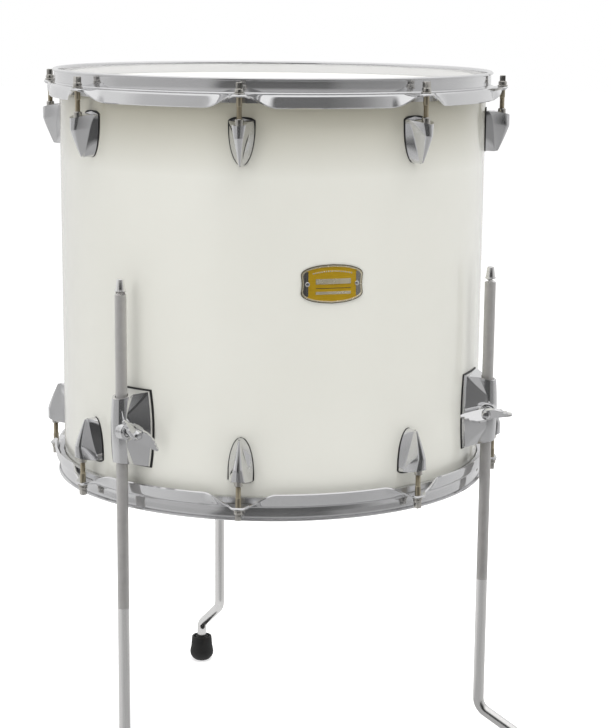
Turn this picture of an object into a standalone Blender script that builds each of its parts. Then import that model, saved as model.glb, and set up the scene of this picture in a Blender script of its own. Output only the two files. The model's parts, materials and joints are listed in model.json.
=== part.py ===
"""Floor tom: a lacquered drum shell with two heads, two steel hoops and three legs.

Metres, +Z up. The origin is on the floor, at the middle of the drum's footprint.
The badge faces -Y. An azimuth turns from -Y (the badge) towards +X.
Each piece is drawn at a station: a local frame whose -Y points away from the drum's axis.
"""
import math

import bmesh
import bpy
from mathutils import Matrix, Vector

# ---- driving dimensions --------------------------------------------------------------
MID_HEIGHT = 0.507            # the shell's middle above the floor
GAP = 0.0003                  # running gap between pieces that touch
RING_STEPS = 48               # facets round the shell, the heads and the hoops

SHELL_RADIUS = 0.2015
SHELL_WALL = 0.006
EDGE_HEIGHT = 0.1805          # bearing edge, above the shell's middle
EDGE_RADIUS = 0.1985          # where the head bears on the edge

FILM_THICKNESS = 0.0006
FILM_TOP = EDGE_HEIGHT + 0.0010
FLESH_INNER = 0.2027
FLESH_OUTER = 0.2068

RIM_HEIGHT = 0.1930
LEDGE_HEIGHT = 0.1795
LEDGE_THICKNESS = 0.0024
SKIRT_HEIGHT = 0.1680
BAND_INNER = 0.2036
BAND_OUTER = 0.2058
RIM_OUTER = 0.2075
SKIRT_TOP_OUTER = 0.2096
SKIRT_OUTER = 0.2115
SKIRT_THICKNESS = 0.0022

ROD_CIRCLE = 0.2166           # radius of the circle of tension rods
ROD_RADIUS = 0.0027
ROD_HEAD_TOP = 0.1896
EAR_REACH = 0.0060            # ear beyond the rod's axis
EAR_HALF_WIDTH = 0.0085
NOTCH_HALF_WIDTH = 0.0200     # the skirt is cut away this far each side of a rod

LUG_TOP = 0.1590              # the lug's rod end, above the shell's middle
LUG_BOTTOM = 0.1186
LUG_HALF_WIDTH = 0.0112
LUG_DEPTH = 0.0228
COLLAR_RADIUS = 0.0037
COLLAR_TOP = 0.1590
ROD_END = 0.1380

LEG_CIRCLE = 0.2190           # radius of the circle of leg axes
LEG_RADIUS = 0.0052
LEG_TIP_HEIGHT = 0.0175       # above the shell's middle
LEG_KNEE_HEIGHT = 0.095       # above the floor
LEG_ANKLE_HEIGHT = 0.044
LEG_REACH = 0.091             # the foot stands this far outside the leg's axis
LEG_BEND_RADIUS = 0.016
LEG_END_HEIGHT = 0.009

FOOT_HEIGHT = 0.029
FOOT_RADIUS = 0.0132
FOOT_FLAT = 0.0060            # radius of the face that it stands on

BRACKET_CENTRE = -0.118       # above the shell's middle
BRACKET_HEIGHT = 0.0695
BRACKET_HALF_WIDTH = 0.0210
COLUMN_HALF_WIDTH = 0.0092
BRACKET_DEPTH = 0.0280
BUSH_RADIUS = 0.0070
BUSH_LENGTH = 0.052
BOSS_RADIUS = 0.0085
BOSS_REACH = 0.0118           # boss face, from the leg's axis
BOLT_TILT = math.radians(15)  # the wing bolt leans away from the shell
BOLT_RADIUS = 0.0030
WING_RADIUS = 0.0240
WING_THICKNESS = 0.0034

BADGE_HALF_WIDTH = 0.0270
BADGE_HALF_HEIGHT = 0.0170
BADGE_THICKNESS = 0.0012
BADGE_HEIGHT = 0.017          # above the shell's middle

VENT_AZIMUTH = 135.0
VENT_RADIUS = 0.0050

ROD_AZIMUTHS = {
    "front_left": -22.5,
    "front_right": 22.5,
    "right_front": 67.5,
    "right_rear": 112.5,
    "rear_right": 157.5,
    "rear_left": -157.5,
    "left_rear": -112.5,
    "left_front": -67.5,
}
# azimuth, the side its wing bolt is on, and how far the wing is turned up at its right end
LEGS = {
    "left": (-52.2, 1, math.radians(-39)),
    "right": (52.2, -1, math.radians(6)),
    "rear": (180.0, 1, math.radians(20)),
}

# The drum's axis is set so that the footprint's middle is at the origin.
REAR_REACH = LEG_CIRCLE + LEG_REACH + FOOT_RADIUS
AXIS_Y = -(REAR_REACH - SKIRT_OUTER) / 2


# ---- frames and materials ------------------------------------------------------------
def station(azimuth=0.0, radius=0.0, height=0.0, upside_down=False):
    """Frame at an azimuth and radius, its -Y pointing away from the drum's axis."""
    place = Matrix.Translation((0, AXIS_Y, height))
    place @= Matrix.Rotation(math.radians(azimuth), 4, "Z")
    place @= Matrix.Translation((0, -radius, 0))
    if upside_down:
        place @= Matrix.Rotation(math.pi, 4, "Y")
    return place


def new_material(name, color, roughness, metallic=0.0):
    material = bpy.data.materials.new(name)
    material.use_nodes = True
    material.diffuse_color = (*color, 1)
    shader = material.node_tree.nodes["Principled BSDF"]
    shader.inputs["Base Color"].default_value = (*color, 1)
    shader.inputs["Roughness"].default_value = roughness
    shader.inputs["Metallic"].default_value = metallic
    return material


def add_part(name, mesh, material, place):
    """Put a copy of a shape in the drum's collection."""
    part = bpy.data.objects.new(name, mesh.copy())
    part.data.name = name
    part.data.materials.clear()
    part.data.materials.append(material)
    part.data.shade_smooth()
    part.data.set_sharp_from_angle(angle=math.radians(35))
    part.matrix_world = place
    bpy.data.collections["floor_tom"].objects.link(part)
    return part


# ---- shapes --------------------------------------------------------------------------
def evaluated_mesh(item):
    """Mesh of a temporary object with its modifiers applied; the object is removed."""
    bpy.context.view_layer.update()
    result = item.evaluated_get(bpy.context.evaluated_depsgraph_get())
    mesh = bpy.data.meshes.new_from_object(result)
    bpy.data.objects.remove(item)
    return mesh


def temporary(data, name="shape"):
    item = bpy.data.objects.new(name, data)
    bpy.context.scene.collection.objects.link(item)
    return item


def welded(mesh):
    work = bmesh.new()
    work.from_mesh(mesh)
    bmesh.ops.remove_doubles(work, verts=work.verts, dist=1e-6)
    bmesh.ops.recalc_face_normals(work, faces=work.faces)
    work.to_mesh(mesh)
    work.free()
    return mesh


def moved(mesh, matrix):
    mesh.transform(matrix)
    return mesh


def cylinder(radius, bottom, top, sides=12, end_radius=None):
    """Closed cylinder or cone along Z, from bottom to top."""
    work = bmesh.new()
    bmesh.ops.create_cone(
        work,
        cap_ends=True,
        segments=sides,
        radius1=radius,
        radius2=radius if end_radius is None else end_radius,
        depth=top - bottom,
        matrix=Matrix.Translation((0, 0, (bottom + top) / 2)),
    )
    mesh = bpy.data.meshes.new("cylinder")
    work.to_mesh(mesh)
    work.free()
    return mesh


def box(low, high):
    low, high = Vector(low), Vector(high)
    size = Matrix.Diagonal((*(high - low), 1))
    work = bmesh.new()
    bmesh.ops.create_cube(work, size=1, matrix=Matrix.Translation((low + high) / 2) @ size)
    mesh = bpy.data.meshes.new("box")
    work.to_mesh(mesh)
    work.free()
    return mesh


def turned(profile, steps, closed=False):
    """Turn a profile of (radius, height) points about Z; its outer side runs downwards."""
    edges = [(i, i + 1) for i in range(len(profile) - 1)]
    if closed:
        edges.append((len(profile) - 1, 0))
    mesh = bpy.data.meshes.new("profile")
    mesh.from_pydata([(radius, 0, height) for radius, height in profile], edges, [])
    item = temporary(mesh)
    screw = item.modifiers.new("turn", "SCREW")
    screw.axis = "Z"
    screw.steps = steps
    screw.render_steps = steps
    screw.use_merge_vertices = True
    screw.merge_threshold = 1e-5
    return evaluated_mesh(item)


def prism(outline, half_thickness):
    """Flat outline in X and Y, extruded both ways along Z."""
    curve = bpy.data.curves.new("outline", "CURVE")
    curve.dimensions = "2D"
    curve.fill_mode = "BOTH"
    curve.extrude = half_thickness
    spline = curve.splines.new("POLY")
    spline.points.add(len(outline) - 1)
    for point, (x, y) in zip(spline.points, outline):
        point.co = (x, y, 0, 1)
    spline.use_cyclic_u = True
    return welded(evaluated_mesh(temporary(curve)))


def tube(points, radius, thin_from=None):
    """Round bar along a row of points; thin_from gives each point's share of the radius."""
    curve = bpy.data.curves.new("route", "CURVE")
    curve.dimensions = "3D"
    curve.bevel_depth = radius
    curve.bevel_resolution = 2
    curve.use_fill_caps = True
    spline = curve.splines.new("POLY")
    spline.points.add(len(points) - 1)
    shares = thin_from or [1.0] * len(points)
    for point, place, share in zip(spline.points, points, shares):
        point.co = (*place, 1)
        point.radius = share
    return welded(evaluated_mesh(temporary(curve)))


def combined(mesh, tools, operation):
    """Boolean of a shape with a row of other closed shapes."""
    item = temporary(mesh)
    helpers = [temporary(tool, "tool") for tool in tools]
    for helper in helpers:
        boolean = item.modifiers.new("boolean", "BOOLEAN")
        boolean.operation = operation
        boolean.solver = "EXACT"
        boolean.object = helper
    result = evaluated_mesh(item)
    for helper in helpers:
        bpy.data.objects.remove(helper)
    return result


def mirrored(points):
    """Half an outline, followed by its mirror image in X."""
    return points + [(-x, y) for x, y in reversed(points) if x > 0]


def arc(centre, radius, start, end, steps):
    """Points on an arc, angles in degrees."""
    angles = [math.radians(start + (end - start) * i / steps) for i in range(steps + 1)]
    return [(centre[0] + radius * math.cos(a), centre[1] + radius * math.sin(a)) for a in angles]


def rounded_route(corners, radius, steps):
    """Row of points through the corners, with each inner corner rounded."""
    points = [Vector(corners[0])]
    for before, corner, after in zip(corners, corners[1:], corners[2:]):
        corner = Vector(corner)
        inward = (Vector(before) - corner).normalized()
        outward = (Vector(after) - corner).normalized()
        half_angle = inward.angle(outward) / 2
        centre = corner + (inward + outward).normalized() * radius / math.sin(half_angle)
        first = (corner + inward * radius / math.tan(half_angle) - centre).normalized()
        last = (corner + outward * radius / math.tan(half_angle) - centre).normalized()
        points += [centre + first.slerp(last, i / steps) * radius for i in range(steps + 1)]
    points.append(Vector(corners[-1]))
    return points


SIDEWAYS = Matrix(((0, 0, 1, 0), (-1, 0, 0, 0), (0, 1, 0, 0), (0, 0, 0, 1)))
"""Turns a prism drawn as (depth from the shell, height) so that its thickness is along X."""


# ---- pieces, drawn about the shell's middle or about a station ------------------------
def shell_mesh():
    inner = SHELL_RADIUS - SHELL_WALL
    wall = turned(
        [
            (EDGE_RADIUS, EDGE_HEIGHT),
            (SHELL_RADIUS, EDGE_HEIGHT - 0.0019),
            (SHELL_RADIUS, -EDGE_HEIGHT + 0.0019),
            (EDGE_RADIUS, -EDGE_HEIGHT),
            (inner, -EDGE_HEIGHT + 0.0030),
            (inner, EDGE_HEIGHT - 0.0030),
        ],
        RING_STEPS,
        closed=True,
    )
    drill = cylinder(VENT_RADIUS + GAP, -0.02, 0.02)
    place = Matrix.Rotation(math.radians(VENT_AZIMUTH), 4, "Z")
    place @= Matrix.Translation((0, -SHELL_RADIUS, 0))
    place @= Matrix.Rotation(math.pi / 2, 4, "X")
    return combined(wall, [moved(drill, place)], "DIFFERENCE")


def film_mesh():
    """Drum skin: flat over the bearing edge, then down to its seat in the flesh hoop."""
    under = FILM_TOP - FILM_THICKNESS
    return turned(
        [
            (0, FILM_TOP),
            (EDGE_RADIUS, FILM_TOP),
            (0.2024, FILM_TOP - 0.0020),
            (0.2024, 0.1725),
            (0.2019, 0.1725),
            (0.2019, under - 0.0020),
            (EDGE_RADIUS - 0.0002, under),
            (0, under),
        ],
        RING_STEPS,
    )


def flesh_hoop_mesh():
    top = LEDGE_HEIGHT - LEDGE_THICKNESS - GAP
    profile = [
        (FLESH_INNER, top),
        (FLESH_OUTER, top),
        (FLESH_OUTER, top - 0.0050),
        (FLESH_INNER, top - 0.0050),
    ]
    return turned(profile, RING_STEPS, closed=True)


def hoop_mesh():
    """Triple-flanged hoop: rim, band, ledge and skirt, with an ear at each rod."""
    under_ledge = LEDGE_HEIGHT - LEDGE_THICKNESS
    ring = turned(
        [
            (BAND_INNER, RIM_HEIGHT),
            (RIM_OUTER, RIM_HEIGHT),
            (RIM_OUTER, RIM_HEIGHT - 0.0022),
            (BAND_OUTER, RIM_HEIGHT - 0.0030),
            (BAND_OUTER, LEDGE_HEIGHT),
            (SKIRT_TOP_OUTER, LEDGE_HEIGHT),
            (SKIRT_OUTER, SKIRT_HEIGHT),
            (SKIRT_OUTER - SKIRT_THICKNESS, SKIRT_HEIGHT),
            (SKIRT_TOP_OUTER - SKIRT_THICKNESS, under_ledge),
            (BAND_INNER, under_ledge),
        ],
        RING_STEPS,
        closed=True,
    )
    notches, ears, holes = [], [], []
    for azimuth in ROD_AZIMUTHS.values():
        turn = Matrix.Rotation(math.radians(azimuth), 4, "Z")
        to_rod = turn @ Matrix.Translation((0, -ROD_CIRCLE, 0))
        low = (-NOTCH_HALF_WIDTH, -SKIRT_OUTER - 0.002, SKIRT_HEIGHT - 0.002)
        high = (NOTCH_HALF_WIDTH, -0.19, under_ledge - 0.0001)
        notches.append(moved(box(low, high), turn))
        ear = prism(mirrored([(0, 0.0100), (0.0130, 0.0100), (EAR_HALF_WIDTH, 0.002),
                              (EAR_HALF_WIDTH, -0.0030), (0.0045, -EAR_REACH)]),
                    LEDGE_THICKNESS / 2 - 0.0001)
        level = Matrix.Translation((0, 0, LEDGE_HEIGHT - LEDGE_THICKNESS / 2))
        ears.append(moved(ear, to_rod @ level))
        hole = cylinder(ROD_RADIUS + 0.0006, under_ledge - 0.003, LEDGE_HEIGHT + 0.003)
        holes.append(moved(hole, to_rod))
    ring = combined(ring, notches, "DIFFERENCE")
    ring = combined(ring, ears, "UNION")
    return combined(ring, holes, "DIFFERENCE")


def lug_mesh():
    """Lug about its rod's axis: flat at the rod end, round at the other, with a bored collar."""
    back = ROD_CIRCLE - SHELL_RADIUS
    side = prism(
        [
            (-back + 0.0004, LUG_TOP),
            (-back + LUG_DEPTH, LUG_TOP - 0.0056),
            (-back + LUG_DEPTH, LUG_TOP - 0.0190),
            (-back + 0.0140, LUG_BOTTOM + 0.0020),
            (-back + 0.0004, LUG_BOTTOM - 0.0010),
        ],
        LUG_HALF_WIDTH + 0.001,
    )
    middle = LUG_BOTTOM + LUG_HALF_WIDTH
    front = arc((0, middle), LUG_HALF_WIDTH, 180, 360, 8)
    front += [(LUG_HALF_WIDTH, LUG_TOP + 0.001), (-LUG_HALF_WIDTH, LUG_TOP + 0.001)]
    upright = Matrix.Rotation(math.pi / 2, 4, "X")
    body = combined(moved(side, SIDEWAYS), [moved(prism(front, 0.03), upright)], "INTERSECT")
    collar = cylinder(COLLAR_RADIUS, LUG_TOP - 0.012, COLLAR_TOP)
    bore = cylinder(ROD_RADIUS + 0.0005, ROD_END - GAP, LUG_TOP + 0.01)
    body = combined(body, [collar], "UNION")
    return combined(body, [bore], "DIFFERENCE")


def rod_mesh():
    """Tension rod: shank, washer and flange, and a square head above the hoop's ear."""
    seat = LEDGE_HEIGHT + GAP
    shank = turned(
        [
            (0, seat + 0.0025),
            (0.0045, seat + 0.0025),
            (0.0055, seat + 0.0012),
            (0.0055, seat),
            (ROD_RADIUS, seat),
            (ROD_RADIUS, ROD_END + 0.001),
            (ROD_RADIUS - 0.001, ROD_END),
            (0, ROD_END),
        ],
        8,
    )
    head = box((-0.0029, -0.0029, seat + 0.002), (0.0029, 0.0029, ROD_HEAD_TOP))
    return combined(shank, [head], "UNION")


def bracket_mesh(bolt_frame):
    """Leg bracket about the leg's axis: a hood that narrows to a bored column, and a boss."""
    back = LEG_CIRCLE - SHELL_RADIUS
    plan = prism(
        mirrored([
            (0.0060, back - BRACKET_DEPTH),
            (COLUMN_HALF_WIDTH, back - BRACKET_DEPTH + 0.0025),
            (COLUMN_HALF_WIDTH, back - 0.0190),
            (BRACKET_HALF_WIDTH, back - 0.0060),
            (BRACKET_HALF_WIDTH, back - 0.0016),
        ]),
        BRACKET_HEIGHT / 2,
    )
    half = BRACKET_HEIGHT / 2
    side = prism(
        [
            (-back, -half),
            (-back + 0.0200, -half + 0.0020),
            (-back + BRACKET_DEPTH, -half + 0.0070),
            (-back + BRACKET_DEPTH, half - 0.0070),
            (-back + 0.0200, half - 0.0020),
            (-back, half),
        ],
        BRACKET_HALF_WIDTH + 0.001,
    )
    body = combined(plan, [moved(side, SIDEWAYS)], "INTERSECT")
    boss = moved(cylinder(BOSS_RADIUS, 0, BOSS_REACH, 16), bolt_frame)
    leg_bore = cylinder(BUSH_RADIUS + GAP, -0.05, 0.05, 16)
    bolt_bore = moved(cylinder(BOLT_RADIUS + 0.0005, 0, BOSS_REACH + 0.01), bolt_frame)
    body = combined(body, [boss], "UNION")
    return combined(body, [leg_bore, bolt_bore], "DIFFERENCE")


def bush_mesh():
    half = BUSH_LENGTH / 2
    inner = LEG_RADIUS + GAP
    profile = [(inner, half), (BUSH_RADIUS, half), (BUSH_RADIUS, -half), (inner, -half)]
    return turned(profile, 16, closed=True)


def gasket_mesh():
    """Rubber sheet under a bracket, curved to the shell."""
    return curved_plate(lambda v: 0.0220, lambda u: 0.0355, 0.0010, 6)


def curved_plate(half_width, half_height, thickness, columns):
    """Plate on the shell about (0, 0); each half size is a function of the other place."""
    work = bmesh.new()
    bmesh.ops.create_grid(work, x_segments=columns, y_segments=4, size=1)
    for vertex in work.verts:
        u, v = vertex.co.x, vertex.co.y
        angle = u * half_width(v) / SHELL_RADIUS
        radius = SHELL_RADIUS + GAP
        vertex.co = (radius * math.sin(angle), -radius * math.cos(angle), v * half_height(u))
    mesh = bpy.data.meshes.new("plate")
    work.to_mesh(mesh)
    work.free()
    item = temporary(mesh)
    solidify = item.modifiers.new("thickness", "SOLIDIFY")
    solidify.thickness = thickness
    solidify.offset = 1
    return evaluated_mesh(item)


def badge_mesh():
    """Barrel-shaped plate: its top and bottom bulge, its sides are waisted."""
    return curved_plate(
        lambda v: BADGE_HALF_WIDTH * (0.92 + 0.08 * v * v),
        lambda u: BADGE_HALF_HEIGHT * (1 - 0.22 * u * u),
        BADGE_THICKNESS,
        8,
    )


def vent_mesh():
    """Eyelet through the shell, drawn along Z with its flange at the top."""
    outside, inside, lip = 0.0014, -SHELL_WALL - 0.0022, 0.0011
    return turned(
        [
            (VENT_RADIUS - 0.0015, outside),
            (VENT_RADIUS + 0.0015, outside),
            (VENT_RADIUS + 0.0035, outside - lip),
            (VENT_RADIUS - 0.0003, outside - lip),
            (VENT_RADIUS - 0.0003, inside + lip),
            (VENT_RADIUS + 0.0025, inside + lip),
            (VENT_RADIUS + 0.0015, inside),
            (VENT_RADIUS - 0.0015, inside),
        ],
        16,
        closed=True,
    )


def wing_bolt_mesh():
    """Wing bolt along Z from the leg's axis: shank, hub and two blades."""
    shank = cylinder(BOLT_RADIUS, BUSH_RADIUS + GAP, 0.018, 10)
    hub = cylinder(0.0055, BOSS_REACH + 0.0012, 0.0260, 12, end_radius=0.0045)
    half = [
        (0.0000, 0.0155),
        (0.0120, 0.0170),
        (0.0210, 0.0230),
        (WING_RADIUS, 0.0310),
        (0.0215, 0.0335),
        (0.0120, 0.0300),
        (0.0060, 0.0260),
        (0.0000, 0.0250),
    ]
    outline = half + [(-x, z) for x, z in reversed(half) if x > 0]
    blades = prism(outline, WING_THICKNESS / 2)
    blades = moved(blades, Matrix.Rotation(math.pi / 2, 4, "X"))
    return combined(shank, [hub, blades], "UNION")


def bolt_frame(side, turn):
    """Frame of a wing bolt about its leg's axis: Z along the bolt, X along the wing."""
    axis = Vector((side * math.cos(BOLT_TILT), -math.sin(BOLT_TILT), 0))
    up = Vector((0, 0, 1))
    right = (-axis).cross(up)
    span = right * math.cos(turn) + up * math.sin(turn)
    across = axis.cross(span)
    return Matrix((span, across, axis)).transposed().to_4x4()


def leg_mesh():
    """Leg about its upright part: straight down, out at the knee, down into the foot."""
    tip = MID_HEIGHT + LEG_TIP_HEIGHT
    corners = [
        (0, 0, tip),
        (0, 0, LEG_KNEE_HEIGHT),
        (0, -LEG_REACH, LEG_ANKLE_HEIGHT),
        (0, -LEG_REACH, LEG_END_HEIGHT),
    ]
    route = rounded_route(corners, LEG_BEND_RADIUS, 5)
    taper = [Vector((0, 0, tip)), Vector((0, 0, tip - 0.003)), Vector((0, 0, tip - 0.012))]
    points = taper + route[1:]
    shares = [0.45, 0.62] + [1.0] * (len(points) - 2)
    return tube(points, LEG_RADIUS, shares)


def foot_mesh():
    """Rubber foot standing on the floor, with a socket for the leg and a sunk ring on top."""
    socket = LEG_RADIUS + GAP
    return turned(
        [
            (socket, FOOT_HEIGHT),
            (0.0075, FOOT_HEIGHT),
            (0.0075, FOOT_HEIGHT - 0.004),
            (0.0095, FOOT_HEIGHT - 0.004),
            (0.0095, FOOT_HEIGHT),
            (0.0113, FOOT_HEIGHT),
            (FOOT_RADIUS, 0.0110),
            (0.0122, 0.0052),
            (0.0095, 0.0014),
            (FOOT_FLAT, 0.0000),
            (0.0000, 0.0000),
            (0.0000, LEG_END_HEIGHT - GAP),
            (socket, LEG_END_HEIGHT - GAP),
            (socket, FOOT_HEIGHT),
        ],
        16,
    )


# ---- assembly ------------------------------------------------------------------------
def build_shell_and_heads(materials):
    middle = station(height=MID_HEIGHT)
    flipped = station(height=MID_HEIGHT, upside_down=True)
    add_part("shell", shell_mesh(), materials["lacquer"], middle)
    film, flesh, hoop = film_mesh(), flesh_hoop_mesh(), hoop_mesh()
    add_part("batter_head", film, materials["coated_film"], middle)
    add_part("batter_flesh_hoop", flesh, materials["aluminium"], middle)
    add_part("top_hoop", hoop, materials["chrome"], middle)
    add_part("resonant_head", film, materials["clear_film"], flipped)
    add_part("resonant_flesh_hoop", flesh, materials["aluminium"], flipped)
    add_part("bottom_hoop", hoop, materials["chrome"], flipped)
    add_part("badge", badge_mesh(), materials["brass"], station(height=MID_HEIGHT + BADGE_HEIGHT))
    vent_place = station(VENT_AZIMUTH, SHELL_RADIUS, MID_HEIGHT)
    vent_place @= Matrix.Rotation(math.pi / 2, 4, "X")
    add_part("air_vent_eyelet", vent_mesh(), materials["brass"], vent_place)


def build_tension_hardware(materials):
    lug, rod = lug_mesh(), rod_mesh()
    for level, upside_down in (("top", False), ("bottom", True)):
        for place_name, azimuth in ROD_AZIMUTHS.items():
            place = station(azimuth, ROD_CIRCLE, MID_HEIGHT, upside_down)
            add_part(f"{level}_lug_{place_name}", lug, materials["chrome"], place)
            add_part(f"{level}_rod_{place_name}", rod, materials["plated_steel"], place)


def build_legs(materials):
    gasket, bush, wing_bolt = gasket_mesh(), bush_mesh(), wing_bolt_mesh()
    leg, foot = leg_mesh(), foot_mesh()
    bracket_height = MID_HEIGHT + BRACKET_CENTRE
    for name, (azimuth, side, turn) in LEGS.items():
        at_bracket = station(azimuth, LEG_CIRCLE, bracket_height)
        bolt = bolt_frame(side, turn)
        add_part(f"{name}_leg_bracket", bracket_mesh(bolt), materials["chrome"], at_bracket)
        on_shell = station(azimuth, 0, bracket_height)
        add_part(f"{name}_bracket_gasket", gasket, materials["rubber"], on_shell)
        add_part(f"{name}_leg_bush", bush, materials["nylon"], at_bracket)
        add_part(f"{name}_wing_bolt", wing_bolt, materials["chrome"], at_bracket @ bolt)
        add_part(f"{name}_leg", leg, materials["plated_steel"], station(azimuth, LEG_CIRCLE))
        at_foot = station(azimuth, LEG_CIRCLE + LEG_REACH)
        add_part(f"{name}_rubber_foot", foot, materials["rubber"], at_foot)


def build():
    for item in list(bpy.data.objects):
        bpy.data.objects.remove(item)
    bpy.context.scene.collection.children.link(bpy.data.collections.new("floor_tom"))
    materials = {
        "lacquer": new_material("white_lacquer", (0.78, 0.76, 0.68), 0.12),
        "coated_film": new_material("coated_film", (0.86, 0.86, 0.84), 0.6),
        "clear_film": new_material("clear_film", (0.80, 0.80, 0.78), 0.25),
        "aluminium": new_material("aluminium", (0.70, 0.70, 0.71), 0.35, 1.0),
        "chrome": new_material("chrome", (0.72, 0.72, 0.73), 0.08, 1.0),
        "plated_steel": new_material("plated_steel", (0.60, 0.58, 0.55), 0.22, 1.0),
        "brass": new_material("brass", (0.72, 0.55, 0.28), 0.3, 1.0),
        "rubber": new_material("black_rubber", (0.02, 0.02, 0.02), 0.7),
        "nylon": new_material("black_nylon", (0.04, 0.04, 0.04), 0.5),
    }
    build_shell_and_heads(materials)
    build_tension_hardware(materials)
    build_legs(materials)


build()
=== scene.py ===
"""Floor tom drum: finished surfaces, fittings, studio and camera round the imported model.

A station is a local frame at an azimuth round the drum: its -Y points away from the drum's
axis, and its origin is level with the shell's middle. Azimuths turn from -Y towards +X.
"""
import json
import math

import bmesh
import bpy
from mathutils import Matrix, Vector


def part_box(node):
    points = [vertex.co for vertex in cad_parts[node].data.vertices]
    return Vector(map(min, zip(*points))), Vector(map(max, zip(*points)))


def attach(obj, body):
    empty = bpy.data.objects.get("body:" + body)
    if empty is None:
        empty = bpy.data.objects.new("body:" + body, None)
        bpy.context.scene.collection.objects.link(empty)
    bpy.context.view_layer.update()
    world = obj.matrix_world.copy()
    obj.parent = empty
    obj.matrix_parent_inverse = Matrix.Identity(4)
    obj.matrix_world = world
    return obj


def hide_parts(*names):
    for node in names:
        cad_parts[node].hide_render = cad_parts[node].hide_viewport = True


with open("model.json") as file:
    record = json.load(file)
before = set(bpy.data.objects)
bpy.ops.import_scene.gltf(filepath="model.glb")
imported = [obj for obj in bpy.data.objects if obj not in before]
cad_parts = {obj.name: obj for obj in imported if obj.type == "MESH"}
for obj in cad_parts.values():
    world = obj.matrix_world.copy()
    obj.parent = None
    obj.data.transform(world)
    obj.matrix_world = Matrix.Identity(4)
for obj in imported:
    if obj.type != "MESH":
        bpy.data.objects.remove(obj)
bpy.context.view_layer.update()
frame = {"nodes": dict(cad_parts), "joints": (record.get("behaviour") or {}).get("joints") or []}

# ---- places read from the model ----
SHELL_LOW, SHELL_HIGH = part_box("shell")
AXIS = (SHELL_LOW + SHELL_HIGH) / 2
MID = AXIS.z
SHELL_RADIUS = (SHELL_HIGH.x - SHELL_LOW.x) / 2
EDGE = SHELL_HIGH.z - MID
FILM_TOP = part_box("batter_head")[1].z - MID
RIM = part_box("top_hoop")[1].z - MID
ROD_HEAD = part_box("top_rod_front_left")[1].z - MID
ROD_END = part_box("top_rod_front_left")[0].z - MID
LUG_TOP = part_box("top_lug_front_left")[1].z - MID
LUG_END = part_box("top_lug_front_left")[0].z - MID
BRACKET_LOW, BRACKET_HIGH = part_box("rear_leg_bracket")
BRACKET_HALF = (BRACKET_HIGH.z - BRACKET_LOW.z) / 2
BRACKET_MID = (BRACKET_HIGH.z + BRACKET_LOW.z) / 2
BRACKET_DEPTH = BRACKET_HIGH.y - AXIS.y - SHELL_RADIUS
LEG_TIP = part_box("rear_leg")[1].z
FOOT_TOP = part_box("rear_rubber_foot")[1].z
JOINTS = {joint["name"]: joint for joint in frame["joints"]}


def azimuth_and_radius(point):
    """Azimuth in degrees and distance from the drum's axis."""
    x, y = point[0], point[1] - AXIS.y
    return math.degrees(math.atan2(x, -y)), math.hypot(x, y)


ROD_NAMES = [name[len("top_"):-len("_turn")] for name in JOINTS if name.startswith("top_rod")]
ROD_AZIMUTHS = [azimuth_and_radius(JOINTS[f"top_{name}_turn"]["pos_m"])[0] for name in ROD_NAMES]
ROD_CIRCLE = azimuth_and_radius(JOINTS["top_rod_front_left_turn"]["pos_m"])[1]
LEG_NAMES = ["left", "right", "rear"]
LEG_AZIMUTHS = [azimuth_and_radius(JOINTS[f"{name}_leg_swivel"]["pos_m"])[0]
                for name in LEG_NAMES]
LEG_CIRCLE = azimuth_and_radius(JOINTS["rear_leg_swivel"]["pos_m"])[1]
FOOT_LOW, FOOT_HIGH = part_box("rear_rubber_foot")
LEG_REACH = (FOOT_LOW.y + FOOT_HIGH.y) / 2 - AXIS.y - LEG_CIRCLE
ROD_GAP = ROD_CIRCLE - SHELL_RADIUS
LEG_GAP = LEG_CIRCLE - SHELL_RADIUS

# ---- sizes of the fine surfaces, metres ----
ROUND = 192  # steps round the shell and the heads
SHELL_WALL = 0.006
HOOP_SHADOW_HEIGHTS = 0.108, 0.162  # heights over which painted shade darkens the lacquer towards the top hoop
BAND_MIDDLE = 0.2047  # radius of the middle of the hoop's upright band
HOOP_THICKNESS = 0.0021
LEDGE_MIDDLE = 0.1784  # height of the middle of the hoop's ledge, over the shell's
LEDGE_OUT = 0.2068  # the ledge is flat out to this radius
SKIRT_ANGLE = math.radians(80)
SKIRT_LENGTH = 0.0088
SKIRT_BEND = 0.002
EAR_LENGTH = 0.0142
EAR_HALF_WIDTH = 0.0095
BEND_START = 0.0045  # the flange lies flat up to this far from a rod
BEND_END = 0.03  # and is bent all the way down from here
LUG_HALF_WIDTH = 0.011
LUG_DEPTH = 0.0226
LUG_TIP_DEPTH = 0.0122  # its pointed end still stands this far off the shell
LUG_SLOPE = 0.0056  # drop of the lug's rod end from back to front
LUG_ARCH = 0.0022  # drop of its rod end from the middle to the corners
NOSE_HALF_WIDTH = 0.0056  # of the crowned front, at the rod end
GASKET = 0.001
COLLAR_RADIUS = 0.0037
ROD_RADIUS = 0.0024
THREAD_PITCH = 0.0009
LEG_RADIUS = 0.0052
KNURL_END = 0.283  # below the shell's middle
KNURL_GROOVES = 30.0  # round the leg, in each family
KNURL_PITCH = 5800.0  # radians of groove for each metre along the leg
LEG_KNEE, LEG_ANKLE = 0.095, 0.044  # heights of the corners of its two bends
LEG_BEND = 0.016
LEG_SIDES = 40  # steps round a leg
TIP_LENGTH = 0.0112
BRACKET_HALF_WIDTH = 0.0183  # at its ends; it bulges at its middle
BRACKET_BULGE = 0.003
HOOD_DEPTH = 0.0205  # of the faceted part beside the column
COLUMN_RADIUS = 0.0083
COLUMN_SWELL = 0.0013
COLUMN_END = 0.00862  # sideways limit of the column
BORE = 0.006  # radius of the bracket's bore
BRACKET_LEAN = 0.19  # the column is this much shorter than the bracket's base
BOLT_TILT = math.radians(15)
BOSS_RADIUS = 0.0085
BOSS_REACH = 0.0118
WING_TURNS = {"left": -39, "right": 6, "rear": 20}  # degrees
WING_SIDES = {"left": 1, "right": -1, "rear": 1}
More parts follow.
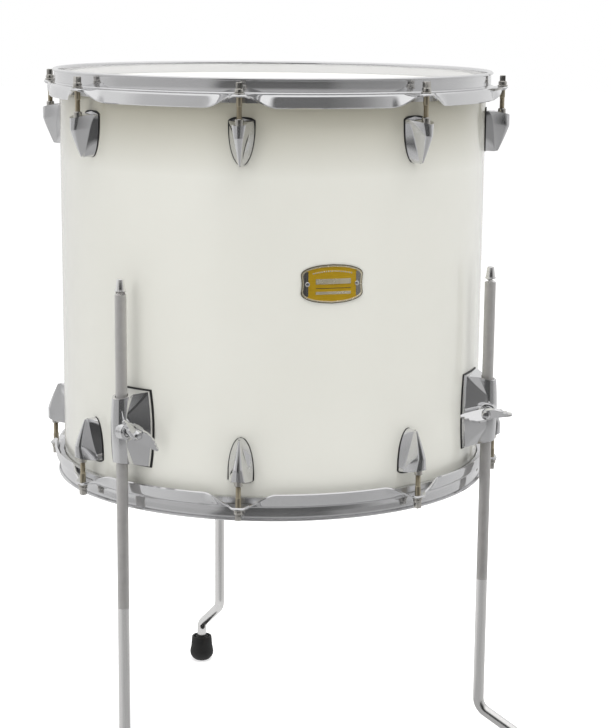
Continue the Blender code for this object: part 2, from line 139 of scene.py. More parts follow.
WING_OUT = {"left": 0.004, "right": 0.0, "rear": 0.0}  # how far each bolt is screwed out
BADGE_HALF_WIDTH = 0.0296
BADGE_HALF_HEIGHT = 0.0169
BADGE_MID = (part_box("badge")[0].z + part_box("badge")[1].z) / 2

DIFFUSE_LIGHT = 0.48  # brightness of the even light round the drum
FLOOR_GLOW = 0.6  # keeps the floor white in the picture


# ---- frames ----
def station(azimuth=0.0, radius=0.0, height=MID, upside_down=False):
    """Local frame at an azimuth round the drum, this far from its axis."""
    place = Matrix.Translation((AXIS.x, AXIS.y, height))
    place @= Matrix.Rotation(math.radians(azimuth), 4, "Z")
    place @= Matrix.Translation((0, -radius, 0))
    if upside_down:
        place @= Matrix.Rotation(math.pi, 4, "Y")
    return place


def bolt_frame(side, degrees):
    """Frame of a wing bolt about its leg's axis: Z along the bolt, X along the wing."""
    turn = math.radians(degrees)
    axis = Vector((side * math.cos(BOLT_TILT), -math.sin(BOLT_TILT), 0))
    up = Vector((0, 0, 1))
    span = (-axis).cross(up) * math.cos(turn) + up * math.sin(turn)
    return Matrix((span, axis.cross(span), axis)).transposed().to_4x4()


# ---- materials ----
class Tree:
    """Short way to add shader nodes and feed their sockets."""

    def __init__(self, tree, place):
        self.tree = tree
        self.place = self.add("TexCoord").outputs[place]

    def add(self, kind, **settings):
        node = self.tree.nodes.new(f"ShaderNode{kind}")
        for name, value in settings.items():
            setattr(node, name, value)
        return node

    def feed(self, socket, value):
        """Link an output to the socket, or set it to a number or a colour."""
        if isinstance(value, bpy.types.NodeSocket):
            self.tree.links.new(value, socket)
        elif isinstance(value, tuple):
            socket.default_value = (*value, 1)
        elif socket.type == "RGBA":
            socket.default_value = (value, value, value, 1)
        else:
            socket.default_value = value

    def math(self, operation, *values):
        node = self.add("Math", operation=operation)
        for socket, value in zip(node.inputs, values):
            self.feed(socket, value)
        return node.outputs["Value"]

    def ramp(self, value, low, high, out_low=0.0, out_high=1.0):
        """Straight map of a value from one range to another, held at its ends."""
        node = self.add("MapRange")
        sockets = ("Value", "From Min", "From Max", "To Min", "To Max")
        for socket, number in zip(sockets, (value, low, high, out_low, out_high)):
            self.feed(node.inputs[socket], number)
        return node.outputs["Result"]

    def mix(self, factor, first, second):
        """Blend of two colours or grey levels."""
        node = self.add("Mix", data_type="RGBA")
        self.feed(node.inputs["Factor"], factor)
        self.feed(node.inputs[6], first)
        self.feed(node.inputs[7], second)
        return node.outputs[2]

    def local(self):
        """X, Y and Z of the place that the textures are read at."""
        split = self.add("SeparateXYZ")
        self.feed(split.inputs["Vector"], self.place)
        return tuple(split.outputs)

    def turn(self):
        """The place's azimuth as a share of a full turn, 0.5 in front."""
        x, y, _ = self.local()
        back = self.math("MULTIPLY", y, -1.0)
        return self.ramp(self.math("ARCTAN2", x, back), -math.pi, math.pi)

    def shades(self, turn, stops):
        """Grey levels round a full turn, from (azimuth, brightness) stops."""
        ramp = self.add("ValToRGB")
        elements = ramp.color_ramp.elements
        while len(elements) < len(stops):
            elements.new(0.5)
        for element, (degrees, value) in zip(elements, stops):
            element.position = (degrees + 180) / 360
            element.color = (value, value, value, 1)
        self.feed(ramp.inputs["Fac"], turn)
        return ramp.outputs["Color"]


class Surface(Tree):
    """Procedural Principled material, textured in the piece's own frame."""

    def __init__(self, name, **sockets):
        self.material = bpy.data.materials.new(name)
        self.material.use_nodes = True
        super().__init__(self.material.node_tree, "Object")
        self.shader = self.tree.nodes["Principled BSDF"]
        for socket, value in sockets.items():
            self.set(socket.replace("_", " ").title().replace("Ior", "IOR"), value)

    def set(self, socket, value):
        """Feed a socket of the Principled shader."""
        self.feed(self.shader.inputs[socket], value)

    def noise(self, scale, detail=2.0, stretch=(1, 1, 1)):
        """Noise from 0 to 1; a larger stretch makes it finer along that axis."""
        mapping = self.add("Mapping")
        mapping.inputs["Scale"].default_value = stretch
        texture = self.add("TexNoise")
        self.feed(texture.inputs["Scale"], scale)
        self.feed(texture.inputs["Detail"], detail)
        self.feed(mapping.inputs["Vector"], self.place)
        self.feed(texture.inputs["Vector"], mapping.outputs["Vector"])
        return texture.outputs["Fac"]

    def color(self, value):
        self.set("Base Color", value)

    def roughness(self, value):
        self.set("Roughness", value)

    def bump(self, height, distance, strength):
        node = self.add("Bump")
        self.feed(node.inputs["Strength"], strength)
        self.feed(node.inputs["Distance"], distance)
        self.feed(node.inputs["Height"], height)
        self.set("Normal", node.outputs["Normal"])


def lacquer():
    """White lacquer under a clear coat: faint orange peel, and a warm painted shade darkening it
    under the top hoop.
    """
    nodes = Surface("white_lacquer", coat_weight=0.6, coat_roughness=0.06)
    unshaded = nodes.mix(nodes.noise(9.0, 3.0), (0.82, 0.815, 0.745), (0.86, 0.855, 0.79))
    # painted shade under the top hoop: over these heights the colour darkens to a warm grey
    hoop_shadow = nodes.ramp(nodes.local()[2], *HOOP_SHADOW_HEIGHTS)
    nodes.color(nodes.mix(hoop_shadow, unshaded, (0.53, 0.51, 0.42)))
    nodes.roughness(nodes.ramp(nodes.noise(60.0, 3.0), 0.3, 0.7, 0.18, 0.27))
    nodes.bump(nodes.noise(420.0, 1.0), 0.00002, 0.35)
    return nodes.material


def maple():
    """Inside of the shell: pale wood with its grain running round."""
    nodes = Surface("shell_plies")
    grain = nodes.noise(14.0, 6.0, stretch=(1, 1, 18))
    nodes.color(nodes.mix(grain, (0.5, 0.33, 0.17), (0.71, 0.53, 0.32)))
    nodes.roughness(nodes.ramp(grain, 0.3, 0.7, 0.38, 0.6))
    nodes.bump(grain, 0.0002, 0.3)
    return nodes.material


def chrome(name, tone, rough, metallic):
    """Chrome plate with faint handling haze."""
    nodes = Surface(name, metallic=metallic)
    haze = nodes.noise(35.0, 4.0)
    nodes.color(nodes.mix(haze, (tone * 0.97, tone * 0.97, tone * 0.98), (tone, tone, tone * 1.01)))
    nodes.roughness(nodes.ramp(haze, 0.35, 0.75, *rough))
    return nodes.material


def plated_steel(name, color, rough):
    """Zinc plated steel with fine drawn lines along Z."""
    nodes = Surface(name, metallic=1.0)
    lines = nodes.noise(90.0, 3.0, stretch=(8, 8, 0.4))
    darker = tuple(channel * 0.82 for channel in color)
    nodes.color(nodes.mix(lines, darker, color))
    nodes.roughness(nodes.ramp(lines, 0.3, 0.7, rough - 0.05, rough + 0.08))
    nodes.bump(lines, 0.00003, 0.3)
    return nodes.material


def knurled_steel():
    """Diamond knurl: two opposite families of helical grooves round the leg."""
    nodes = Surface("knurled_steel", metallic=1.0)
    x, y, z = nodes.local()
    round_angle = nodes.math("MULTIPLY", nodes.math("ARCTAN2", y, x), KNURL_GROOVES)
    along = nodes.math("MULTIPLY", z, KNURL_PITCH)
    one = nodes.math("SINE", nodes.math("ADD", round_angle, along))
    other = nodes.math("SINE", nodes.math("SUBTRACT", round_angle, along))
    pyramid = nodes.math("MINIMUM", one, other)
    worn = nodes.noise(140.0, 3.0)
    nodes.color(nodes.mix(worn, (0.62, 0.605, 0.59), (0.82, 0.805, 0.79)))
    nodes.roughness(nodes.ramp(worn, 0.3, 0.7, 0.3, 0.48))
    nodes.bump(pyramid, 0.00022, 0.8)
    return nodes.material


def coated_film():
    """Batter head: sprayed white coating with a fine tooth."""
    nodes = Surface("coated_film")
    tooth = nodes.noise(1500.0, 2.0)
    nodes.color(nodes.mix(nodes.noise(24.0, 4.0), (0.8, 0.79, 0.76), (0.87, 0.865, 0.84)))
    nodes.roughness(nodes.ramp(tooth, 0.3, 0.7, 0.5, 0.72))
    nodes.bump(tooth, 0.00008, 0.6)
    return nodes.material


def clear_film():
    """Resonant head: thin film that lets the inside show."""
    nodes = Surface("clear_film", base_color=(0.93, 0.93, 0.91), transmission_weight=0.85,
                    ior=1.1)
    nodes.roughness(nodes.ramp(nodes.noise(30.0, 3.0), 0.3, 0.7, 0.14, 0.24))
    return nodes.material


def rubber(name, tone, rough):
    """Matt rubber or nylon, a little grimy."""
    nodes = Surface(name)
    grime = nodes.noise(160.0, 4.0)
    nodes.color(nodes.mix(grime, (tone * 0.7,) * 3, (tone * 1.3,) * 3))
    nodes.roughness(nodes.ramp(grime, 0.3, 0.7, rough - 0.08, rough + 0.1))
    nodes.bump(nodes.noise(1300.0, 2.0), 0.00006, 0.5)
    return nodes.material


def badge_metal():
    """Gold lacquered plate with a brushed ground."""
    nodes = Surface("badge_gold", metallic=0.45)
    brushed = nodes.noise(120.0, 3.0, stretch=(0.6, 1, 14))
    nodes.color(nodes.mix(brushed, (0.48, 0.29, 0.012), (0.7, 0.45, 0.02)))
    nodes.roughness(nodes.ramp(brushed, 0.3, 0.7, 0.28, 0.45))
    nodes.bump(brushed, 0.00003, 0.3)
    return nodes.material


def badge_trim():
    """Pale gold of the badge's raised parts."""
    nodes = Surface("badge_trim", metallic=0.7)
    worn = nodes.noise(300.0, 3.0)
    nodes.color(nodes.mix(worn, (0.72, 0.64, 0.44), (0.9, 0.84, 0.66)))
    nodes.roughness(nodes.ramp(worn, 0.3, 0.7, 0.16, 0.3))
    return nodes.material


def enamel():
    """Dark enamel of the badge's thin lines."""
    nodes = Surface("badge_enamel")
    patchy = nodes.noise(200.0, 3.0)
    nodes.color(nodes.mix(patchy, (0.045, 0.035, 0.02), (0.09, 0.07, 0.035)))
    nodes.roughness(nodes.ramp(patchy, 0.3, 0.7, 0.25, 0.4))
    return nodes.material


MATERIALS = {
    "lacquer": lacquer(),
    "maple": maple(),
    "hoop": chrome("hoop_chrome", 0.74, (0.06, 0.12), 0.86),
    "casting": chrome("casting_chrome", 0.76, (0.05, 0.11), 0.97),
    "rod": plated_steel("rod_steel", (0.66, 0.64, 0.6), 0.22),
    "thread": plated_steel("rod_thread", (0.55, 0.49, 0.37), 0.34),
    "leg": plated_steel("leg_steel", (0.94, 0.93, 0.92), 0.17),
    "knurl": knurled_steel(),
    "coated": coated_film(),
    "clear": clear_film(),
    "gasket": rubber("gasket_rubber", 0.014, 0.5),
    "foot": rubber("foot_rubber", 0.011, 0.6),
    "nylon": rubber("bush_nylon", 0.03, 0.45),
    "flesh": plated_steel("flesh_hoop_aluminium", (0.75, 0.75, 0.76), 0.3),
    "gold": badge_metal(),
    "trim": badge_trim(),
    "enamel": enamel(),
}


# ---- mesh helpers ----
def finished(work, name):
    """Mesh made from a bmesh, which is freed."""
    mesh = bpy.data.meshes.new(name)
    work.to_mesh(mesh)
    work.free()
    return mesh


def mesh_from_rows(rows, closed_rows=True, closed_ends=False):
    """Skin over rows of points of equal length.

    closed_rows joins each row's last point to its first, and closed_ends the last row to
    the first; without it those two rows are filled."""
    work = bmesh.new()
    grid = [[work.verts.new(point) for point in row] for row in rows]
    pairs = list(zip(grid, grid[1:])) + ([(grid[-1], grid[0])] if closed_ends else [])
    for row, following in pairs:
        count = len(row)
        for i in range(count if closed_rows else count - 1):
            j = (i + 1) % count
            work.faces.new((row[i], row[j], following[j], following[i]))
    if not closed_ends:
        work.faces.new(grid[0][::-1])
        work.faces.new(grid[-1])
    bmesh.ops.remove_doubles(work, verts=work.verts, dist=1e-7)
    bmesh.ops.recalc_face_normals(work, faces=work.faces)
    return finished(work, "skin")


def turned(profile, steps=48):
    """Profile of (radius, height) points turned about Z; it may start and end on the axis."""
    rows = []
    for step in range(steps):
        angle = 2 * math.pi * step / steps
        rows.append([(r * math.cos(angle), r * math.sin(angle), z) for r, z in profile])
    on_axis = profile[0][0] == 0 and profile[-1][0] == 0
    return mesh_from_rows(rows, closed_rows=not on_axis, closed_ends=True)


def joined(*meshes):
    """One mesh that holds several, each kept as its own body."""
    work = bmesh.new()
    for mesh in meshes:
        work.from_mesh(mesh)
    return finished(work, "joined")


def moved(mesh, matrix):
    """Copy of a mesh, moved by a matrix."""
    copy = mesh.copy()
    copy.transform(matrix)
    return copy


def bevelled_box(size, width):
    """Box with rounded edges."""
    work = bmesh.new()
    bmesh.ops.create_cube(work, size=1, matrix=Matrix.Diagonal((*size, 1)))
    bmesh.ops.bevel(work, geom=work.edges, offset=width, segments=2, profile=0.5, affect="EDGES")
    return finished(work, "box")


def cut(mesh, tool):
    """Mesh with a closed tool cut out of it."""
    block = bpy.data.objects.new("block", mesh)
    knife = bpy.data.objects.new("knife", tool)
    for item in (knife, block):
        bpy.context.scene.collection.objects.link(item)
    modifier = block.modifiers.new("cut", "BOOLEAN")
    modifier.operation, modifier.solver, modifier.object = "DIFFERENCE", "EXACT", knife
    bpy.context.view_layer.update()
    result = block.evaluated_get(bpy.context.evaluated_depsgraph_get())
    made = bpy.data.meshes.new_from_object(result)
    bpy.data.objects.remove(block)
    bpy.data.objects.remove(knife)
    return made


def add_piece(name, mesh, material, place, replaces=(), crease=35, body="drum"):
    """Put a mesh in the scene as a piece that rides on a body.

    A mesh that has no material yet is given the one named."""
    piece = bpy.data.objects.new(name, mesh)
    if not mesh.materials:
        mesh.materials.append(MATERIALS[material])
    mesh.shade_smooth()
    mesh.set_sharp_from_angle(angle=math.radians(crease))
    bpy.context.scene.collection.objects.link(piece)
    piece.matrix_world = place
    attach(piece, body)
    if replaces:
        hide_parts(*replaces)


# ---- shell and heads ----
def shell_mesh():
    """Closed ring with rounded bearing edges, chamfered inside."""
    inner = SHELL_RADIUS - SHELL_WALL
    lip = 0.0019
    profile = [(SHELL_RADIUS - 0.003, EDGE), (SHELL_RADIUS - 0.0012, EDGE - 0.0005)]
    profile += [(SHELL_RADIUS, (EDGE - lip) * (1 - i / 6)) for i in range(13)]
    profile += [(SHELL_RADIUS - 0.0012, -EDGE + 0.0005), (SHELL_RADIUS - 0.003, -EDGE),
                (inner, -EDGE + 0.003), (inner, EDGE - 0.003)]
    return turned(profile, ROUND)


def vent_station(height):
    """Frame on the shell at the vent, with its Z outwards."""
    low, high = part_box("air_vent_eyelet")
    azimuth, _ = azimuth_and_radius((low + high) / 2)
    return station(azimuth, SHELL_RADIUS, height) @ Matrix.Rotation(math.pi / 2, 4, "X")


def make_shell():
    """Shell with its vent hole: lacquer outside, bare wood inside."""
    drill = turned([(0, 0.02), (0.0052, 0.02), (0.0052, -0.02), (0, -0.02)], 24)
    to_middle = Matrix.Translation((-AXIS.x, -AXIS.y, 0))
    mesh = cut(shell_mesh(), moved(drill, to_middle @ vent_station(0)))
    mesh.materials.clear()
    mesh.materials.append(MATERIALS["lacquer"])
    mesh.materials.append(MATERIALS["maple"])
    for face in mesh.polygons:
        outside = math.hypot(face.center.x, face.center.y) > SHELL_RADIUS - 0.0008
        face.material_index = 0 if outside else 1
    add_piece("lacquered_shell", mesh, "lacquer", station(), ["shell"])


def film_profile():
    """Film: flat, rolled over the bearing edge, then down to its seat in the flesh hoop."""
    under = FILM_TOP - 0.0005
    edge = SHELL_RADIUS - 0.003
    return [(0, FILM_TOP), (edge - 0.012, FILM_TOP), (edge - 0.0005, FILM_TOP),
            (edge + 0.0018, FILM_TOP - 0.0004), (edge + 0.0033, FILM_TOP - 0.0014),
            (0.2024, FILM_TOP - 0.003), (0.2024, 0.1725), (0.2019, 0.1725),
            (0.2019, under - 0.0028), (edge + 0.0028, under - 0.0014),
            (edge + 0.0015, under - 0.0004), (edge - 0.0006, under), (0, under)]


def make_heads():
    """The same film at both ends: sprayed at the top and clear at the bottom."""
    top = turned(film_profile(), ROUND)
    bottom = top.copy()
    add_piece("coated_batter_head", top, "coated", station(), ["batter_head"])
    add_piece("clear_resonant_head", bottom, "clear", station(upside_down=True),
              ["resonant_head"])


# ---- hoops ----
def hoop_path(distance):
    """Middle line of the pressed steel, from rim to free edge, this far from a rod."""
    path = [(0.2067, RIM - 0.0021), (0.2068, RIM - 0.0015), (0.2063, RIM - 0.0011),
            (0.2055, RIM - 0.0011), (0.2049, RIM - 0.0016), (BAND_MIDDLE, RIM - 0.0024),
            (BAND_MIDDLE, RIM - 0.0028), (BAND_MIDDLE, LEDGE_MIDDLE + 0.0024),
            (BAND_MIDDLE, LEDGE_MIDDLE + 0.002), (BAND_MIDDLE + 0.0006, LEDGE_MIDDLE + 0.0006),
            (BAND_MIDDLE + 0.0016, LEDGE_MIDDLE)]
    ear = EAR_LENGTH * math.sqrt(max(0.0, 1 - (distance / EAR_HALF_WIDTH) ** 4))
    length = max(ear, SKIRT_LENGTH)
    bent = min(max((distance - BEND_START) / (BEND_END - BEND_START), 0.0), 1.0)
    eased = bent * bent * (3 - 2 * bent)
    angle = SKIRT_ANGLE * (bent + eased) / 2
    radius, height = LEDGE_OUT, LEDGE_MIDDLE
    path.append((radius, height))
    for step in range(1, 5):
        turn = angle * step / 4
        drop = SKIRT_BEND * (1 - math.cos(turn))
        path.append((radius + SKIRT_BEND * math.sin(turn), height - drop))
    start = path[-1]
    for step in range(1, 6):
        reach = length * step / 5
        path.append((start[0] + reach * math.cos(angle), start[1] - reach * math.sin(angle)))
    return path


def thickened(path, thickness):
    """Closed outline round a line: offset both ways, with a rounded end at each side."""
    points = [Vector(point) for point in path]
    sides = ([], [])
    for i, point in enumerate(points):
        along = (points[min(i + 1, len(points) - 1)] - points[max(i - 1, 0)]).normalized()
        across = Vector((-along.y, along.x)) * thickness / 2
        sides[0].append(point + across)
        sides[1].append(point - across)
    tip = (points[-1] - points[-2]).normalized() * thickness * 0.35
    heel = (points[0] - points[1]).normalized() * thickness * 0.35
    outline = sides[0] + [points[-1] + tip] + sides[1][::-1] + [points[0] + heel]
    return [(point.x, point.y) for point in outline]


def hoop_mesh():
    """Pressed hoop: its section changes along the rim as the skirt opens round each rod."""
    steps = 1152
    rods = [math.radians(azimuth) for azimuth in ROD_AZIMUTHS]
    rows = []
    for step in range(steps):
        angle = 2 * math.pi * step / steps
        nearest = min(abs((angle - rod + math.pi) % (2 * math.pi) - math.pi) for rod in rods)
        section = thickened(hoop_path(nearest * SHELL_RADIUS), HOOP_THICKNESS)
        rows.append([(r * math.sin(angle), -r * math.cos(angle), z) for r, z in section])
    return mesh_from_rows(rows, closed_ends=True)


def make_hoops():
    """One pressing for both ends."""
    mesh = hoop_mesh()
    add_piece("pressed_top_hoop", mesh, "hoop", station(), ["top_hoop"], 50)
    add_piece("pressed_bottom_hoop", mesh, "hoop", station(upside_down=True),
              ["bottom_hoop"], 50)


# ---- lugs and tension rods ----
def lug_half_width(share, grow=0.0):
    """Half width of the lug's outline, from its rod end (0) to its pointed end (1)."""
    bend = max(0.0, share - 0.16) / 0.84
    return (LUG_HALF_WIDTH + grow) * math.sqrt(max(0.0, 1 - bend ** 2.1))


def lug_section(share):
    """Right half of a section, from its middle to the shell: points of (sideways, depth).

    The creases between front and flanks run from the corners of the rod end to the tip."""
    width = lug_half_width(share)
    depth = LUG_DEPTH - (LUG_DEPTH - LUG_TIP_DEPTH) * max(0.0, (share - 0.34) / 0.66) ** 1.25
    depth *= min(1.0, width / 0.0022) ** 0.5
    nose = min(NOSE_HALF_WIDTH * (1 - share) + 0.0006, 0.6 * width)
    crown = 0.6 * nose
    points = [(nose * i / 8, depth - crown * (i / 8) ** 2) for i in range(9)]
    shoulder = (nose, depth - crown)
    corner = (min(0.0106 - 0.0098 * share, 0.96 * width), 0.0055 + 0.0042 * share)
    points += [blend(shoulder, corner, part) for part in (0.07, 0.16, 0.5, 0.84, 0.93, 1.0)]
    points += [blend(corner, (width, GASKET), part) for part in (0.07, 0.16, 0.5, 0.84, 1.0)]
    return points


def blend(first, second, share):
    """Point between two others."""
    return tuple(a + (b - a) * share for a, b in zip(first, second))


def corner_fall(x):
    """Drop of the lug's arched rod end, this far sideways."""
    return LUG_ARCH * (abs(x) / LUG_HALF_WIDTH) ** 4


def lug_mesh():
    """Bullet-shaped casting with a crowned nose and creased flanks, drawn about its rod."""
    length = LUG_TOP - LUG_END
    lines = 60
    rows = []
    for line in range(lines + 1):
        share = 1 - (1 - line / lines) ** 1.5
        right = lug_section(share)
        across = [(-x, depth) for x, depth in reversed(right[1:])] + right
        row = []
        for x, depth in across:
            lean = LUG_SLOPE * (depth / LUG_DEPTH) ** 1.5 * (1 - share) ** 3
            lean += corner_fall(x) * (1 - share) ** 8
            row.append((x, ROD_GAP - depth, LUG_TOP - share * length - lean))
        row.append((0.0, ROD_GAP - GASKET, LUG_TOP - share * length))
        rows.append(row)
    return mesh_from_rows(rows)


def lug_gasket_mesh():
    """Thin rubber sheet that shows as a dark line round the lug."""
    grow = 0.0008
    length = LUG_TOP - LUG_END
    right = []
    for line in range(33):
        share = line / 32
        width = lug_half_width(share, grow)
        height = LUG_TOP + grow - share * (length + 1.4 * grow)
        right.append((width, height - corner_fall(width) * (1 - share) ** 8))
    wide = right[0][0]
    arch = [(wide * i / 8, LUG_TOP + grow - corner_fall(wide * i / 8)) for i in range(-7, 8)]
    outline = right + [(-x, z) for x, z in reversed(right[:-1])] + arch
    return sheet_on_shell(outline, ROD_GAP, GASKET)


def sheet_on_shell(outline, gap, thickness):
    """Sheet that follows the round shell, behind a station that is this far off it."""
    return mesh_from_rows([[(x, gap - depth + shell_fall(x), z) for x, z in outline]
                           for depth in (-0.0002, thickness)])


def shell_fall(x):
    """How far the round shell has fallen back, this far sideways from a station."""
    return SHELL_RADIUS - math.sqrt(SHELL_RADIUS ** 2 - x * x)


def nut_mesh():
    """Collar of the swivel nut that stands out of the lug."""
    top, r = LUG_TOP, COLLAR_RADIUS
    return turned([(ROD_RADIUS, top), (r - 0.0006, top), (r, top - 0.0006), (r, top - 0.0068),
                   (ROD_RADIUS, top - 0.0068)], 32)


def rod_meshes():
    """Square head on its round collar, and the plain neck with the threaded end."""
    seat = LEDGE_MIDDLE + HOOP_THICKNESS / 2 + 0.0014
    collar = [(0, seat + 0.0036), (0.003, seat + 0.0036), (0.0037, seat + 0.003),
              (0.0041, seat + 0.0018), (0.0039, seat + 0.0005), (0.0034, seat), (0, seat)]
    top = bevelled_box((0.0054, 0.0054, ROD_HEAD - seat - 0.0008), 0.0007)
    middle = (ROD_HEAD + seat + 0.0008) / 2
    head = joined(turned(collar, 32), moved(top, Matrix.Translation((0, 0, middle))))
    neck_end = seat - 0.011
    profile = [(0, seat - 0.0002), (0.0026, seat - 0.0002), (0.0026, neck_end)]
    height = neck_end - 0.0006
    while height > ROD_END + THREAD_PITCH:
        profile.append((ROD_RADIUS, height))
        profile.append((ROD_RADIUS - 0.0004, height - THREAD_PITCH / 2))
        height -= THREAD_PITCH
    profile += [(ROD_RADIUS - 0.0008, ROD_END), (0, ROD_END)]
    return head, turned(profile, 24)


def washer_mesh():
    """Plain washer on the hoop's ear, under the rod's collar."""
    bottom = LEDGE_MIDDLE + HOOP_THICKNESS / 2 + 0.0001
    return turned([(0.003, bottom + 0.0012), (0.0045, bottom + 0.0012), (0.0048, bottom + 0.0009),
                   (0.0048, bottom), (0.003, bottom)], 32)


def screw_mesh():
    """Cross-head screw with its washer, drawn with its head towards +Z."""
    washer = turned([(0.0025, 0.001), (0.0065, 0.001), (0.0068, 0), (0.0025, 0)], 28)
    dome = [(0, 0.004), (0.002, 0.0038), (0.0038, 0.0028), (0.0044, 0.0012), (0.0044, 0.0008)]
    head = turned(dome + [(0, 0.0008)], 28)
    for degrees in (0, 90):
        slot = bevelled_box((0.0048, 0.0009, 0.003), 0.0002)
        turn = Matrix.Translation((0, 0, 0.0042)) @ Matrix.Rotation(math.radians(degrees), 4, "Z")
        head = cut(head, moved(slot, turn))
    return joined(washer, head)


def inner_station(azimuth, height):
    """Frame on the shell's inner wall, with its Z inwards."""
    place = station(azimuth, SHELL_RADIUS - SHELL_WALL, height)
    return place @ Matrix.Rotation(-math.pi / 2, 4, "X")


def make_tension_hardware():
    """A lug, a rod and their small parts at every station, at both ends of the shell."""
    lug, gasket, nut = lug_mesh(), lug_gasket_mesh(), nut_mesh()
    washer, screw = washer_mesh(), screw_mesh()
    head, thread = rod_meshes()
    for level, flipped in (("top", False), ("bottom", True)):
        for name, azimuth in zip(ROD_NAMES, ROD_AZIMUTHS):
            place = station(azimuth, ROD_CIRCLE, upside_down=flipped)
            spot = name[len("rod_"):]
            where = f"{level}_{spot}"
            rod = f"{level}_{name}"
            add_piece(f"lug_casting_{where}", lug, "casting", place,
                      [f"{level}_lug_{spot}"], 40)
            add_piece(f"lug_gasket_{where}", gasket, "gasket", place)
            add_piece(f"lug_nut_{where}", nut, "rod", place)
            add_piece(f"rod_head_{where}", head, "rod", place, [rod], 30, rod)
            add_piece(f"rod_thread_{where}", thread, "thread", place, body=rod)
            add_piece(f"rod_washer_{where}", washer, "rod", place, body=rod)
            sign = -1 if flipped else 1
            for share in (0.28, 0.7):
                height = MID + sign * (LUG_TOP - share * (LUG_TOP - LUG_END))
                add_piece(f"lug_screw_{where}_{int(share * 100)}", screw, "rod",
                          inner_station(azimuth, height))


# ---- legs ----
def bracket_half_width(height):
    """Half width of the bracket's base: it bulges at its middle."""
    return BRACKET_HALF_WIDTH + BRACKET_BULGE * (1 - (height / BRACKET_HALF) ** 2)


def bracket_depth(x, height):
    """Depth of the bracket off the shell: faceted flanks that climb to a round column."""
    side = abs(x)
    from_end = BRACKET_HALF - abs(height)
    upper = 0.003 + 0.9 * (BRACKET_HALF_WIDTH - side) + 0.5 * from_end
    flank = 0.003 + 1.45 * (bracket_half_width(height) - side)
    hood = max(0.0022, min(upper, flank, HOOD_DEPTH))
    radius = COLUMN_RADIUS + COLUMN_SWELL * (1 - (height / BRACKET_HALF) ** 2)
    column = LEG_GAP + math.sqrt(max(0.0, radius ** 2 - side ** 2))
    return max(hood, column) if side < COLUMN_END else hood


def bracket_row(height):
    """Points across the bracket's front, closest together on the column."""
    beside = COLUMN_END + 0.00003
    width = bracket_half_width(height)
    right = [(COLUMN_END - 0.00002) * math.sin(math.pi / 2 * i / 14) for i in range(1, 15)]
    right += [beside + (width - beside) * i / 14 for i in range(0, 15)]
    row = []
    for x in [-x for x in reversed(right)] + [0.0] + right:
        depth = bracket_depth(x, height)
        row.append((x, LEG_GAP - depth, height * (1 - BRACKET_LEAN * depth / BRACKET_DEPTH)))
    return row


def bracket_mesh():
    """Leg bracket about its leg's axis, bored for the leg."""
    lines = 72
    work = bmesh.new()
    grid = []
    for line in range(lines + 1):
        row = bracket_row(-BRACKET_HALF + 2 * BRACKET_HALF * line / lines)
        grid.append([work.verts.new(point) for point in row])
    for row, following in zip(grid, grid[1:]):
        for i in range(len(row) - 1):
            work.faces.new((row[i], row[i + 1], following[i + 1], following[i]))
    rim = [e for e in work.edges if e.is_boundary]
    made = bmesh.ops.extrude_edge_only(work, edges=rim)["geom"]
    for vertex in (item for item in made if isinstance(item, bmesh.types.BMVert)):
        vertex.co.z /= 1 - BRACKET_LEAN * (LEG_GAP - vertex.co.y) / BRACKET_DEPTH
        vertex.co.y = LEG_GAP - GASKET + shell_fall(vertex.co.x)
    bmesh.ops.holes_fill(work, edges=[e for e in work.edges if e.is_boundary])
    bmesh.ops.recalc_face_normals(work, faces=work.faces)
    mesh = finished(work, "bracket")
    return cut(mesh, turned([(0, 0.05), (BORE, 0.05), (BORE, -0.05), (0, -0.05)], 40))


def boss_mesh():
    """Flared boss with a sunk eye, drawn along the wing bolt."""
    r, face = BOSS_RADIUS, BOSS_REACH
    return turned([(0.0044, face - 0.0045), (0.0046, face - 0.0006), (0.0052, face),
                   (r - 0.0016, face), (r - 0.0004, face - 0.0008), (r, face - 0.0024),
                   (r + 0.0003, 0.0078), (r + 0.001, 0.0062), (r + 0.0012, 0.0044),
                   (0.0044, 0.0044)], 56)


def wing_blade(sign):
    """One blade of the wing: a plate with a stepped edge, pitched like a propeller's."""
    straight = [(0.0, -0.0052), (0.004, -0.0052), (0.011, -0.0042), (0.02, -0.0028),
                (0.0236, -0.0018), (0.024, -0.0004)]
    stepped = [(0.0232, 0.0006), (0.0204, 0.0008), (0.0192, 0.003), (0.0162, 0.0032),
               (0.015, 0.0056), (0.0118, 0.006), (0.009, 0.0074), (0.004, 0.0076),
               (0.0, 0.007)]
    outline = straight + stepped
    pitch = math.radians(48)
    middle = (0.011, 0.0006)
    rows = []
    for lift, shrink in ((-0.0016, 0.955), (-0.0012, 1.0), (0.0012, 1.0), (0.0016, 0.955)):
        row = []
        for reach, chord in outline:
            reach = middle[0] + (reach - middle[0]) * shrink
            chord = middle[1] + (chord - middle[1]) * shrink
            across = chord * math.sin(pitch) - lift * math.cos(pitch)
            along = chord * math.cos(pitch) + lift * math.sin(pitch)
            row.append((sign * reach, sign * across, 0.0195 + 0.3 * reach + along))
        rows.append(row)
    return mesh_from_rows(rows)


def wing_mesh():
    """Wing bolt along Z from the leg's axis: its hub and two blades."""
    hub = turned([(0, 0.0258), (0.0026, 0.0256), (0.004, 0.024), (0.0047, 0.02),
                  (0.0048, 0.0165), (0.0042, 0.0148), (0.0032, 0.0146), (0.0032, 0.0056),
                  (0, 0.0056)], 40)
    return joined(hub, wing_blade(1), wing_blade(-1))


